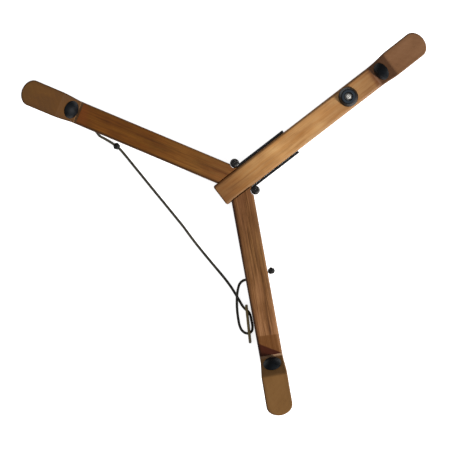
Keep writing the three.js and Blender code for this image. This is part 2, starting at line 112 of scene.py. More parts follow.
# Length, thickness and height
TOGGLE = (43, 3, 11)
TOGGLE_AT = (124, -17.4)
TOGGLE_TURN = math.radians(-4.3)
TOGGLE_LIFT = 0.2

# ---- Shape finer than the CAD part's, in millimetres ---

# Each end of a bar, as the run from the end and the inset there
INNER_END = ((0, 1.9), (0.25, 1.1), (0.7, 0.5), (1.3, 0.15), (2, 0))
OUTER_END = ((0.2, 0), (0.05, 0.02), (0, 0.06))
BAR_STATION = 9
# How much the bars' rounding varies, and over what length
EDGE_WEAR = 0.35
WEAR_LENGTH = 24
LEAST_EDGE = 0.9
# Where the folding arms' mitres end beside the centre bar, closer to it than in the CAD part
MITRE_FACE = 12.95
# From and to in x, as far as in y, from and to in z: more than the folding arms take up
MITRE_ROOM = (-70, 110, 60, -5, 31)
CUT_EDGE = 0.4

PIN_DOME_R = 4.7
PIN_DOME = 1.5
LEAF_EDGE = 0.35
SCREW_EDGE = 0.12

# How far the landing slopes up to meet the bar
JOINT_LIFT = 1.5
# The stations of an end block near its joint
JOINT_STATIONS = (0.06, 0.2, 0.5, 1.0, 1.7, 2.3, 2.9, 3.6)
LANDING_ROUND = 0.8
CREASE_ROUND = 1.6
HEEL_ROUND = 3
THROAT_EDGE = 1.3
PADDLE_EDGE = 1.7
UNDER_EDGE = 1.2
EDGE_LAYERS = 5
# The faces across an end block's top and underside
ACROSS = 8

RING_STEP = 0.5
BRAID_STRANDS = 6
BRAID_PITCH = 2.4
BRAID_RELIEF = 0.2
CORD_SIDES = 24
SPLINE_STEPS = 40
# The ball's radius, and the radius of the cord wound into it
ANCHOR_KNOT_SIZE = (3.8, 1.4)
STOPPER_KNOT_SIZE = (3.85, 1.45)
KNOT_STEPS = 480
KNOT_TILT = math.radians(64)
# How far up and down the turns weave, in radians, and how far in and out
KNOT_WEAVE = 1.05
KNOT_RIPPLE = 0.22

TOGGLE_STATIONS = 44
TOGGLE_END = 1.1
TOGGLE_EDGE = 0.7
# How far the slat's wear reaches from its tip
WORN_TIP = 6
BUMPER_RIM = 0.9
WASHER_THICK = 0.8
# The cross recess of the screw: half its length, half its slots' width, its depth and its turn
RECESS = (1.9, 0.42, 1.3, 0.35)
FLOOR_HALF = 9000
FLOOR_DROP = 0.1

# Angles in degrees: faces that meet at more keep a sharp edge between them
SHARP = 35
SHARP_BLOCK = 42
SHARP_ROUND = 40
SHARP_SMALL = 30


def arm_frame(angle, pin_side):
    """An arm's own frame: x runs out from the hub, and z is up."""
    across = Vector((-math.sin(angle), math.cos(angle), 0))
    place = Vector((PIN[0], -pin_side * PIN[1], 0)) - across * pin_side * ARM_OFFSET
    return Matrix.Translation(place * MM) @ Matrix.Rotation(angle, 4, "Z")


CENTRE = Matrix.Identity(4)
LEFT = arm_frame(LEFT_ANGLE, -1)
RIGHT = arm_frame(RIGHT_ANGLE, 1)

# ---- Camera ----------------------------------------------------

eye = Vector((0.019143, -0.032657, 1.722846))
look = Vector((-0.036075, 0.002201, -0.999347))
up = Vector((0.609263, 0.792710, -0.020248))
right = look.cross(up).normalized()
up = right.cross(look).normalized()
camera = bpy.data.objects.new("camera", bpy.data.cameras.new("camera"))
bpy.context.scene.collection.objects.link(camera)
camera.matrix_world = Matrix.Translation(eye) @ Matrix((right, up, -look)).transposed().to_4x4()
camera.data.lens = 123.22
camera.data.sensor_width = 36
camera.data.clip_end = 20
bpy.context.scene.camera = camera

# ---- Materials -------------------------------------------------


def srgb(red, green, blue):
    """The linear colour of an 8-bit sRGB one."""
    def linear(value):
        value /= 255
        return value / 12.92 if value <= 0.04045 else ((value + 0.055) / 1.055) ** 2.4
    return (linear(red), linear(green), linear(blue), 1)


class Look:
    """A procedural material: small helpers round one node tree with a Principled shader."""

    def __init__(self, name):
        self.material = bpy.data.materials.new(name)
        self.material.use_nodes = True
        self.tree = self.material.node_tree
        self.shader = self.tree.nodes["Principled BSDF"]

    def node(self, kind, **settings):
        made = self.tree.nodes.new("ShaderNode" + kind)
        for key, value in settings.items():
            setattr(made, key, value)
        return made

    def feed(self, socket, value):
        if isinstance(value, bpy.types.NodeSocket):
            self.tree.links.new(value, socket)
        else:
            socket.default_value = value

    def mapped(self, vector, scale=(1, 1, 1), shift=(0, 0, 0)):
        """Coordinates that are scaled, and then shifted."""
        made = self.node("Mapping", vector_type="POINT")
        self.feed(made.inputs["Vector"], vector)
        made.inputs["Scale"].default_value = scale
        made.inputs["Location"].default_value = shift
        return made.outputs["Vector"]

    def place(self, scale=(1, 1, 1), shift=(0, 0, 0)):
        """The object's own coordinates in metres, scaled and then shifted."""
        return self.mapped(self.node("TexCoord").outputs["Object"], scale, shift)

    def noise(self, vector, detail=3, roughness=0.55):
        made = self.node("TexNoise")
        self.feed(made.inputs["Vector"], vector)
        made.inputs["Scale"].default_value = 1
        made.inputs["Detail"].default_value = detail
        made.inputs["Roughness"].default_value = roughness
        return made.outputs["Fac"]

    def cells(self, size, detail=3, roughness=0.55):
        """Noise that is alike in all directions, with size cells to a metre."""
        return self.noise(self.place((size, size, size)), detail, roughness)

    def math(self, operation, first, second=0.0):
        made = self.node("Math", operation=operation)
        self.feed(made.inputs[0], first)
        self.feed(made.inputs[1], second)
        return made.outputs[0]

    def plus(self, first, second):
        return self.math("ADD", first, second)

    def minus(self, first, second):
        return self.math("SUBTRACT", first, second)

    def times(self, first, second):
        return self.math("MULTIPLY", first, second)

    def remap(self, value, low, high, to_low=0.0, to_high=1.0, smooth=False):
        made = self.node("MapRange", interpolation_type="SMOOTHSTEP" if smooth else "LINEAR")
        self.feed(made.inputs["Value"], value)
        made.inputs["From Min"].default_value = low
        made.inputs["From Max"].default_value = high
        made.inputs["To Min"].default_value = to_low
        made.inputs["To Max"].default_value = to_high
        return made.outputs["Result"]

    def spread(self, noise, low, high):
        """Noise stretched over its middle part, from low to high."""
        return self.remap(noise, 0.3, 0.7, low, high)

    def blend(self, amount, first, second, how="MIX"):
        made = self.node("Mix", data_type="RGBA", blend_type=how, clamp_factor=True)
        factor, below, above = made.inputs[0], made.inputs[6], made.inputs[7]
        self.feed(factor, amount)
        self.feed(below, first)
        self.feed(above, second)
        return made.outputs[2]

    def ramp(self, value, stops):
        made = self.node("ValToRGB")
        self.feed(made.inputs["Fac"], value)
        elements = made.color_ramp.elements
        for _ in stops[2:]:
            elements.new(0.5)
        for element, (position, colour) in zip(elements, stops):
            element.position = position
            element.color = colour
        return made.outputs["Color"]

    def attribute(self, name):
        return self.node("Attribute", attribute_name=name).outputs["Fac"]

    def axis(self, vector, which):
        split = self.node("SeparateXYZ")
        self.feed(split.inputs[0], vector)
        return split.outputs[which]

    def bump(self, height, strength, distance):
        made = self.node("Bump")
        made.inputs["Strength"].default_value = strength
        made.inputs["Distance"].default_value = distance
        self.feed(made.inputs["Height"], height)
        self.feed(self.shader.inputs["Normal"], made.outputs["Normal"])

    def surface(self, **values):
        names = {"color": "Base Color", "rough": "Roughness", "metal": "Metallic",
                 "specular": "Specular IOR Level", "sheen": "Sheen Weight"}
        for key, value in values.items():
            self.feed(self.shader.inputs[names[key]], value)
        return self.material


# The cells of each kind of noise in a metre of wood, along and across the grain
WANDERING = (11, 36, 36)
FINE_GRAIN = (18, 950, 950)
BROAD_GRAIN = (13, 360, 360)
PORES = (130, 2900, 2900)
PATCHES = (28, 62, 62)
CLOUDS = (24, 190, 190)
# Where the effects painted on the woods lie, in metres in an arm's own frame
GRAIN_DRIFT = (0, 0.0022, 0.0018)
PITH = (0, -0.034, -0.052)
# Where the strips of painted shade and highlight along a bar's rounded long edges lie, across and
# up
STRIP_SIDE = (0.009, 0.0111)
STRIP_HEIGHT = (0.0075, 0.0112)
# The heights of a bar's top, where the painted shadows and reflection of the end block lie
TOP_HEIGHT = (0.02, 0.0235)
# How strongly the painted highlight on an end block's landing shows
LANDING_HIGHLIGHT_AMOUNT = 0.8


def wood(name, dark, middle, light, seed, streak, patch, ring=0.1, band=0.12, pore=0.2,
         rough=(0.45, 0.62), bump=0.3, specular=0.28, tinge=None, painted_light_and_shade=None, painted_shadows_and_reflections=(), edge=None,
         landing_highlight=None, rim=None):
    """Stained hardwood with its grain along the object's own x axis.

    dark, middle and light are its tones.
    streak, patch, ring, band and pore say how strongly the fine grain, blotches, growth rings,
    broad grain and open pores show.
    tinge is (amount, tint) for clouds of another stain.
    fade is (x, factors) pairs of painted light and shade along the wood's length: light falling off
    along a bar, and shade in an end block's throat.
    pools are (end, reach, soft, lean, amount, tint): painted shadows of the end block on the bar's
    top within reach of the end, and on the left arm a reddish painted reflection of it.
    edge is (amount, tint) for strips of painted shade and highlight along the +y side's edges and
    along the -y side's: darker where a rounded edge turns from the light, lighter where it is lit.
    shelf is the tint of a painted highlight on the landing, and rim is (amount, tint) for the edges
    that the rim attribute marks, such as the toggle's worn tip.
    """
    look = Look(name)
    shift = (seed, seed * 1.7, seed * 0.6)
    wander = look.node("VectorMath", operation="MULTIPLY_ADD")
    look.feed(wander.inputs[0], look.noise(look.place(WANDERING, shift), detail=2))
    wander.inputs[1].default_value = GRAIN_DRIFT
    look.feed(wander.inputs[2], look.place())
    base = wander.outputs[0]

    fine = look.noise(look.mapped(base, FINE_GRAIN, shift), detail=4, roughness=0.65)
    broad = look.noise(look.mapped(base, BROAD_GRAIN, shift), detail=3)
    pores = look.noise(look.mapped(base, PORES, shift), detail=2)
    patches = look.noise(look.place(PATCHES, shift), detail=3, roughness=0.5)
    rings = look.node("TexWave", wave_type="RINGS", rings_direction="X", wave_profile="SAW")
    look.feed(rings.inputs["Vector"], look.mapped(base, shift=tuple(-value for value in PITH)))
    rings.inputs["Scale"].default_value = 128
    rings.inputs["Distortion"].default_value = 2.6
    rings.inputs["Detail"].default_value = 2
    rings.inputs["Detail Scale"].default_value = 0.35

    tone = look.plus(0.5, look.spread(fine, -streak / 2, streak / 2))
    tone = look.plus(tone, look.spread(broad, -band / 2, band / 2))
    tone = look.plus(tone, look.remap(rings.outputs["Fac"], 0, 1, ring / 2, -ring / 2))
    tone = look.plus(tone, look.spread(patches, -patch / 2, patch / 2))
    color = look.ramp(tone, [(0.08, dark), (0.5, middle), (0.95, light)])
    open_pore = look.remap(pores, 0.6, 0.72, 0, pore, smooth=True)
    color = look.blend(open_pore, color, tuple(0.35 * value for value in dark[:3]) + (1,))

    at = look.place()
    if tinge:
        amount, tint = tinge
        cloudy = look.noise(look.place(CLOUDS, shift), detail=3, roughness=0.6)
        color = look.blend(look.remap(cloudy, 0.42, 0.64, 0, amount, smooth=True), color, tint)
    # Painted light and shade along the length: light falling off along a bar, and shade in an end
    # block's throat
    if painted_light_and_shade:
        first, last = painted_light_and_shade[0][0], painted_light_and_shade[-1][0]
        stops = [((x - first) / (last - first), (*factors, 1)) for x, factors in painted_light_and_shade]
        shade = look.ramp(look.remap(look.axis(at, 0), first, last), stops)
        color = look.blend(1.0, color, shade, how="MULTIPLY")
    # Painted shadows of the end block on the bar's top near the joint, and on the left arm a
    # reddish painted reflection of it, leaning across the bar
    for end, reach, soft, lean, amount, tint in painted_shadows_and_reflections:
        short = look.minus(end, look.axis(at, 0))
        short = look.plus(short, look.times(look.axis(at, 1), lean))
        painted_light_mask = look.remap(short, reach - soft, reach + soft, amount, 0, smooth=True)
        painted_light_mask = look.times(painted_light_mask, look.remap(look.axis(at, 2), *TOP_HEIGHT))
        color = look.blend(painted_light_mask, color, tint)
    # Strips of painted shade and highlight along the bar's rounded long edges
    if edge:
        upward = look.math("ABSOLUTE", look.minus(look.axis(at, 2), HALF * MM))
        upward = look.remap(upward, *STRIP_HEIGHT, smooth=True)
        broken = look.remap(patches, 0.35, 0.6, 0.6, 1)
        for side, (amount, tint) in zip((1, -1), edge):
            sideways = look.remap(look.times(look.axis(at, 1), side), *STRIP_SIDE, smooth=True)
            corner = look.times(look.times(sideways, upward), broken)
            color = look.blend(look.times(corner, amount), color, tint)
    # A painted highlight on the end block's landing
    if landing_highlight:
        color = look.blend(look.times(look.attribute("landing_highlight"), LANDING_HIGHLIGHT_AMOUNT), color, landing_highlight)
    # The edges that the rim attribute marks take the rim tint: the toggle's worn grey tip, and a
    # darker line along an end block's upper edges
    if rim:
        amount, tint = rim
        worn = look.times(look.attribute("rim"), look.remap(patches, 0.3, 0.6, 0.55, 1))
        color = look.blend(look.times(worn, amount), color, tint)

    roughness = look.remap(look.plus(fine, patches), 0.7, 1.3, *rough)
    look.bump(look.minus(look.plus(fine, look.times(broad, 0.6)), open_pore), bump, 0.00025)
    return look.surface(color=color, rough=roughness, specular=specular)


def rubber(name, specular, rings=None):
    """Moulded rubber. rings are (radius in metres, colour) pairs round the piece's own z axis, for
    a sheen painted in rings.
    """
    look = Look(name)
    cloud = look.cells(140)
    color = look.ramp(cloud, [(0.3, srgb(5, 7, 10)), (0.7, srgb(11, 16, 21))])
    # A painted sheen in rings round the piece's own axis
    if rings:
        at = look.place()
        widest = rings[-1][0]
        across, along = look.axis(at, 0), look.axis(at, 1)
        squares = look.plus(look.times(across, across), look.times(along, along))
        reach = look.math("DIVIDE", look.math("SQRT", squares), widest)
        worn = look.ramp(reach, [(radius / widest, tint) for radius, tint in rings])
        color = look.blend(look.spread(cloud, 0.7, 0.95), color, worn)
    dust = look.remap(look.cells(520, detail=4), 0.6, 0.78, 0, 0.1, smooth=True)
    color = look.blend(dust, color, srgb(62, 64, 68))
    speck = look.cells(2600, detail=2)
    look.bump(look.plus(speck, look.times(cloud, 0.5)), 0.22, 0.0002)
    return look.surface(color=color, rough=look.spread(cloud, 0.44, 0.6), specular=specular)


def black_paint(name, worn):
    """Black paint on steel. The lower worn is, the more of the steel shows."""
    look = Look(name)
    cloud = look.cells(90, detail=4)
    chips = look.cells(420, detail=5, roughness=0.7)
    chip = look.remap(chips, worn, worn + 0.055, smooth=True)
    color = look.ramp(cloud, [(0.3, srgb(6, 5, 5)), (0.7, srgb(15, 13, 12))])
    color = look.blend(chip, color, srgb(150, 147, 140))
    look.bump(look.minus(look.cells(900), chip), 0.3, 0.0002)
    return look.surface(color=color, metal=look.times(chip, 0.9),
                        rough=look.spread(cloud, 0.28, 0.46), specular=0.3)


def zinc(name):
    """Plain zinc plate with fine scratches."""
    look = Look(name)
    scratch = look.noise(look.place((500, 6000, 900)), detail=2)
    color = look.ramp(look.cells(300), [(0.3, srgb(196, 194, 190)), (0.7, srgb(232, 230, 224))])
    look.bump(scratch, 0.15, 0.0001)
    return look.surface(color=color, metal=0.85, rough=look.spread(scratch, 0.36, 0.55))


def braid(name, tones, sheen):
    """Braided cord: tones run from the gaps between the strands to the tops of the strands, as
    painted shade in the gaps and painted highlights on the tops.
    """
    look = Look(name)
    cloud = look.cells(60)
    fibre = look.cells(3800)
    # Painted shade in the gaps between the strands and painted highlights on their tops, from the
    # strand attribute
    tone = look.plus(look.attribute("strand"), look.spread(cloud, -0.2, 0.2))
    color = look.ramp(tone, list(zip((0.05, 0.55, 1.0), tones)))
    color = look.blend(look.remap(fibre, 0.55, 0.75, 0, 0.4, smooth=True), color, tones[2])
    look.bump(fibre, 0.3, 0.00015)
    return look.surface(color=color, rough=look.spread(cloud, 0.72, 0.88), specular=0.25,
                        sheen=sheen)


SANDED = {"ring": 0.06, "streak": 0.14, "band": 0.06, "patch": 0.25, "pore": 0.08,
          "rough": (0.62, 0.78), "bump": 0.12}
# Painted light and shade on the centre bar: darker at the hub and at the far end and brightest
# between, painted shade along both long edges, and a painted shadow of the end block at the joint
CENTRE_WOOD = wood(
    "honey_wood", srgb(140, 90, 43), srgb(187, 137, 84), srgb(212, 168, 112), seed=0.37,
    ring=0.08, streak=0.28, band=0.24, patch=0.5, pore=0.2, tinge=(0.35, srgb(196, 134, 70)),
    painted_light_and_shade=[(-0.027, (0.4, 0.33, 0.24)), (0.0, (0.6, 0.54, 0.43)), (0.03, (0.9, 0.9, 0.86)),
          (0.055, (1.12, 1.18, 1.2)), (0.1, (0.98, 1.0, 1.0)), (0.15, (0.8, 0.79, 0.8)),
          (0.187, (0.55, 0.51, 0.47))],
    edge=((0.6, srgb(96, 56, 24)), (0.6, srgb(118, 84, 52))),
    painted_shadows_and_reflections=[(0.187, 0.003, 0.0025, 0.1, 0.65, srgb(92, 46, 16))])
# Painted light and shade on the left bar: brighter at the hub and darker towards its outer end,
# painted shade along its long edges, strongest on the +y side, and a reddish painted reflection of
# the end block near the joint
LEFT_WOOD = wood(
    "dark_wood", srgb(70, 37, 6), srgb(107, 63, 14), srgb(136, 86, 26), seed=2.11,
    ring=0.08, streak=0.36, band=0.26, patch=0.5, pore=0.25, specular=0.18,
    tinge=(0.45, srgb(110, 74, 22)),
    painted_light_and_shade=[(-0.02, (1.32, 1.28, 3.4)), (0.04, (1.18, 1.28, 2.1)), (0.1, (1.02, 0.93, 0.68)),
          (0.18, (0.87, 0.78, 0.54))],
    edge=((0.8, srgb(48, 26, 8)), (0.35, srgb(84, 52, 18))),
    painted_shadows_and_reflections=[(0.179, 0.009, 0.005, -0.3, 0.32, srgb(126, 58, 20))])
# Painted light and shade on the right bar: darker towards the hub and brighter outward, a painted
# highlight along the +y edges and painted shade along the -y edges, and the end block's painted
# shadow at the joint, a soft band with a dark triangle in it
RIGHT_WOOD = wood(
    "streaked_wood", srgb(60, 33, 12), srgb(118, 79, 44), srgb(168, 124, 84), seed=4.63,
    ring=0.06, streak=0.7, band=0.22, patch=0.22, pore=0.55, specular=0.13,
    tinge=(0.4, srgb(150, 106, 74)),
    painted_light_and_shade=[(-0.02, (0.72, 0.62, 0.53)), (0.03, (0.69, 0.62, 0.52)), (0.07, (0.83, 0.8, 0.64)),
          (0.15, (1.06, 1.02, 1.02))],
    edge=((0.4, srgb(136, 98, 62)), (0.82, srgb(50, 22, 7))),
    painted_shadows_and_reflections=[(0.182, 0.022, 0.0007, 0.05, 0.75, srgb(98, 58, 20)),
           (0.182, 0.0077, 0.0008, 0.606, 0.95, srgb(58, 18, 3))])
# Painted light and shade on the centre end block: a darker throat up to the crease, brighter
# towards the tip, and a painted highlight on the landing
CENTRE_BLOCK_WOOD = wood(
    "paddle_wood", srgb(102, 66, 40), srgb(132, 93, 62), srgb(150, 110, 80), seed=7.9,
    specular=0.2, rim=(0.5, srgb(62, 38, 20)), landing_highlight=srgb(124, 88, 66), **SANDED,
    painted_light_and_shade=[(0.187, (0.9, 0.88, 0.9)), (0.2064, (0.76, 0.7, 0.68)), (0.2072, (1.02, 1.0, 0.98)),
          (0.262, (1.1, 1.13, 1.15))])
# Painted light and shade on the left end block: the throat a little darker than the paddle, darker
# again near the tip, and a painted highlight on the landing
LEFT_BLOCK_WOOD = wood(
    "dark_paddle_wood", srgb(63, 38, 12), srgb(91, 58, 23), srgb(109, 74, 34), seed=9.4,
    specular=0.15, rim=(0.5, srgb(44, 26, 12)), landing_highlight=srgb(146, 110, 76), **SANDED,
    painted_light_and_shade=[(0.179, (0.86, 0.85, 0.76)), (0.1988, (0.87, 0.85, 0.73)), (0.2, (0.98, 0.96, 0.82)),
          (0.225, (0.98, 0.97, 0.82)), (0.242, (0.84, 0.88, 0.76))])
# A painted highlight on the right end block's landing
RIGHT_BLOCK_WOOD = wood(
    "brown_paddle_wood", srgb(102, 69, 32), srgb(134, 95, 51), srgb(151, 111, 65), seed=12.3,
    specular=0.2, rim=(0.5, srgb(56, 34, 18)), landing_highlight=srgb(142, 114, 90), **SANDED)
DOWEL_WOOD = wood(
    "dowel_wood", srgb(150, 118, 76), srgb(198, 166, 118), srgb(218, 190, 146), seed=5.2,
    streak=0.3, patch=0.2, rough=(0.6, 0.75))
TOGGLE_WOOD = wood(
    "toggle_wood", srgb(84, 70, 40), srgb(126, 108, 68), srgb(150, 134, 96), seed=6.6,
    streak=0.4, patch=0.3, pore=0.3, rough=(0.5, 0.68), rim=(0.8, srgb(134, 134, 132)))
RUBBER = rubber("black_rubber", 0.13)
# The foot's flat top ring takes a lighter, bluish painted sheen; the recess and the sloping outer
# wall stay black
FOOT_RUBBER = rubber("black_rubber_foot", 0.2, [
    (0.0, srgb(5, 6, 8)), (0.0046, srgb(6, 7, 9)), (0.0054, srgb(44, 54, 64)),
    (0.0068, srgb(44, 52, 60)), (0.0078, srgb(9, 10, 12)), (0.012, srgb(7, 7, 8))])
BLACK_STEEL = black_paint("worn_black_paint", 0.625)
RUBBED_STEEL = black_paint("rubbed_black_paint", 0.565)
BRIGHT_STEEL = zinc("zinc_plate")
CORD = braid("braided_cord", [srgb(13, 12, 9), srgb(38, 35, 25), srgb(66, 62, 46)], 0.25)
# A darker, greyer copy of the cord's colours for the knots: painted shade, since the knots catch
# more light than the rest of the cord
SHADED_KNOT_CORD = braid("braided_cord_knot_shade", [srgb(6, 6, 6), srgb(17, 17, 16), srgb(34, 35, 34)], 0.1)

# ---- Mesh helpers ----------------------------------------------


def made(name, points, faces, place, material, merge=1e-6, marks=()):
    """A closed mesh from points in millimetres, in the frame called place.

    Points closer than merge metres become one, and with merge 0 the mesh stays as it is given.
    marks are (attribute, value for each point) pairs.
    """
    mesh = bpy.data.meshes.new(name)
    mesh.from_pydata([Vector(point) * MM for point in points], [], faces)
    for title, values in marks:
        mesh.attributes.new(title, "FLOAT", "POINT").data.foreach_set("value", values)
    if merge:
        edit = bmesh.new()
        edit.from_mesh(mesh)
        bmesh.ops.remove_doubles(edit, verts=edit.verts, dist=merge)
        bmesh.ops.dissolve_degenerate(edit, edges=edit.edges, dist=1e-6)
        bmesh.ops.recalc_face_normals(edit, faces=edit.faces)
        edit.to_mesh(mesh)
        edit.free()
    mesh.materials.append(material)
    obj = bpy.data.objects.new(name, mesh)
    bpy.context.scene.collection.objects.link(obj)
    obj.matrix_world = place
    return obj


def lofted(rings):
    """Points and faces of a body through rings of equally many points, capped at both ends."""
    count = len(rings[0])
    points = [point for ring in rings for point in ring]
    faces = []
    for i in range(len(rings) - 1):
        for j in range(count):
            k = (j + 1) % count
            faces.append((i * count + j, i * count + k, (i + 1) * count + k, (i + 1) * count + j))
    faces.append(tuple(reversed(range(count))))
    faces.append(tuple((len(rings) - 1) * count + j for j in range(count)))
    return points, faces


def turned(profile, sides):
    """Points and faces of a round body on z from (radius, height) pairs. Radius 0 closes it."""
    points = []
    rows = []
    for radius, height in profile:
        if radius == 0:
            rows.append([len(points)])
            points.append((0, 0, height))
            continue
        rows.append([len(points) + i for i in range(sides)])
        for i in range(sides):
            angle = 2 * math.pi * i / sides
            points.append((radius * math.cos(angle), radius * math.sin(angle), height))
    faces = []
    for low, high in zip(rows, rows[1:]):
        for i in range(sides):
            j = (i + 1) % sides
            if len(low) == 1:
                faces.append((low[0], high[j], high[i]))
            elif len(high) == 1:
                faces.append((low[i], low[j], high[0]))
            else:
                faces.append((low[i], low[j], high[j], high[i]))
    return points, faces


def arc(before, here, after, radius, steps):
    """Points of the curve that rounds the corner at here, and meets both straights smoothly."""
    here = Vector(here)
    back, on = Vector(before) - here, Vector(after) - here
    reach = min(radius / math.tan(back.angle(on) / 2), 0.48 * back.length, 0.48 * on.length)
    start, end = here + back.normalized() * reach, here + on.normalized() * reach
    ts = [step / steps for step in range(steps + 1)]
    return [tuple(start * (1 - t) ** 2 + here * 2 * t * (1 - t) + end * t ** 2) for t in ts]


def rounded(corners, radii, steps):
    """A closed outline through the corners, each one rounded."""
    out = []
    for i, radius in enumerate(radii):
        out += arc(corners[i - 1], corners[i], corners[(i + 1) % len(corners)], radius, steps)
    return out


def opened(points, radii):
    """An outline with two loose ends, rounded at the points between them."""
    out = [points[0]]
    for before, here, after, radius in zip(points, points[1:], points[2:], radii):
        out += arc(before, here, after, radius, 6)
    return out + [points[-1]]


def cutter(points, faces, place):
    return made("cutter", points, faces, place, BRIGHT_STEEL)


def cut(obj, cutters):
    """Takes the cutters' room out of the piece, and removes the cutters."""
    for tool in cutters:
        modifier = obj.modifiers.new("cut", "BOOLEAN")
        modifier.operation = "DIFFERENCE"
        modifier.solver = "MANIFOLD"
        modifier.object = tool
    settle(obj)
    for tool in cutters:
        bpy.data.objects.remove(tool)


def settle(obj):
    """Puts the result of the piece's modifiers into its mesh."""
    bpy.context.view_layer.update()
    graph = bpy.context.evaluated_depsgraph_get()
    mesh = bpy.data.meshes.new_from_object(obj.evaluated_get(graph), preserve_all_data_layers=True,
                                           depsgraph=graph)
    obj.modifiers.clear()
    while len(mesh.materials) > 1:
        mesh.materials.pop(index=len(mesh.materials) - 1)
    for face in mesh.polygons:
        face.material_index = 0
    obj.data = mesh


def soften(obj, width, angle):
    """Breaks the edges that are sharper than the angle."""
    modifier = obj.modifiers.new("edges", "BEVEL")
    modifier.width = width * MM
    modifier.segments = 2
    modifier.limit_method = "ANGLE"
    modifier.angle_limit = math.radians(angle)


def shade(obj, angle):
    """Smooth shading between faces that meet at less than the angle."""
    obj.data.polygons.foreach_set("use_smooth", [True] * len(obj.data.polygons))
    obj.data.set_sharp_from_angle(angle=math.radians(angle))


def smooth(obj, angle=SHARP):
    """Smooth shading whose normals follow the large faces."""
    shade(obj, angle)
    modifier = obj.modifiers.new("normals", "WEIGHTED_NORMAL")
    modifier.keep_sharp = True
    modifier.weight = 60


def piece(obj, body, slot, *nodes):
    """The object rides on the body and stands for the nodes. The slot is not used."""
    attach(obj, body)
    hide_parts(*nodes)
    return obj


def rod(radius, start, end, sides=24):
    """Points and faces of a plain round room from one point to another."""
    start, end = Vector(start), Vector(end)
    turn = Vector((0, 0, 1)).rotation_difference(end - start).to_matrix()
    long = (end - start).length
    points, faces = turned([(0, 0), (radius, 0), (radius, long), (0, long)], sides)
    return [tuple(start + turn @ Vector(point)) for point in points], faces


# ---- Cord routes -----------------------------------------------

# Each cord's points, in its own arm's frame
LEFT_STRAND = [
    (162.7, 7.7, 12.7), (154, 12.7, 12.7), (150, 14.75, 12.4), (144, 15.4, 10.8), (138.5, 16.2, 8),
    (133.6, 17.1, 5.4),
]
ANCHOR_KNOT = (129.4, 18, 4.1)
LEFT_LINE = [
    (125.2, 19.4, 3.6), (118, 23, 2), (108, 28.3, LYING), (93, 36.3, LYING), (77.4, 44.6, LYING),
    (60, 53.8, LYING), (43, 62.8, LYING), (25.7, 72, LYING),
]
STOPPER_KNOT = (91.2, 16.9, 12.7)
RIGHT_LINE = [
    (91.9, 12.9, 12.7), (94, 0, 12.7), (96, -12.7, 12.7), (96.6, -16.2, 12.6), (99.3, -20.2, 11.7),
    (104.8, -23.2, 9.4), (111, -25.4, 6.5), (117.5, -26.9, 4.5), (125, -28.2, 2.4),
    (132, -28.9, LYING), (139, -29.2, LYING), (146, -29, LYING), (151.2, -27.6, 1.9),
    (155, -24.2, 3), (156, -20, 4.2), (153.8, -16.4, 5.1), (149.3, -14.9, 5.5), (142, -14.8, 5.5),
    (136, -15.1, 5.4), (132, -16.5, 5.2), (129, -19, 4.8), (125.6, -21.4, 3.9), (119, -24, 2.2),
    (112, -26.6, LYING), (102, -30.6, LYING), (91.4, -35.8, LYING), (73, -46.2, LYING),
    (54.2, -56.7, LYING), (40, -64.2, LYING),
]


def world(place, point):
    """A point of an arm's own frame in the object's frame, both in millimetres."""
    return place @ (Vector(point) * MM) / MM


def spline(points):
    """A centripetal Catmull-Rom curve through the points, as a dense list."""
    pts = [Vector(point) for point in points]
    pts = [2 * pts[0] - pts[1]] + pts + [2 * pts[-1] - pts[-2]]
    out = []
    for a, b, c, d in zip(pts, pts[1:], pts[2:], pts[3:]):
        first, middle, last = ((b - a).length ** 0.5, (c - b).length ** 0.5, (d - c).length ** 0.5)
        leave = ((b - a) / first - (c - a) / (first + middle) + (c - b) / middle) * middle
        reach = ((c - b) / middle - (d - b) / (middle + last) + (d - c) / last) * middle
        for step in range(SPLINE_STEPS):
            t = step / SPLINE_STEPS
            out.append(b + leave * t + (3 * (c - b) - 2 * leave - reach) * t ** 2
                       + (2 * (b - c) + leave + reach) * t ** 3)
    out.append(pts[-2])
    return out


def evenly(line, step):
    """The line's points again, a constant distance apart, and its length."""
    total = sum((b - a).length for a, b in zip(line, line[1:]))
    count = round(total / step)
    out = [line[0]]
    travelled = 0.0
    for a, b in zip(line, line[1:]):
        length = (b - a).length
        while len(out) < count and travelled + length >= total * len(out) / count:
            out.append(a.lerp(b, (total * len(out) / count - travelled) / length))
        travelled += length
    out.append(line[-1])
    return out, total


def frames_along(line):
    """A frame at each point that turns as little as it can."""
    tangents = [(b - a).normalized() for a, b in zip([line[0]] + line[:-1], line[1:] + [line[-1]])]
    side = tangents[0].orthogonal().normalized()
    out = []
    for point, tangent in zip(line, tangents):
        side = (side - tangent * side.dot(tangent)).normalized()
        out.append((point, side, tangent.cross(side)))
    return out


def plain_tube(line, radius, sides):
    """Points and faces of a smooth tube along the line."""
    rings = []
    angles = [2 * math.pi * i / sides for i in range(sides)]
    for point, side, other in frames_along(line):
        rings.append([tuple(point + (side * math.cos(a) + other * math.sin(a)) * radius)
                      for a in angles])
    return lofted(rings)


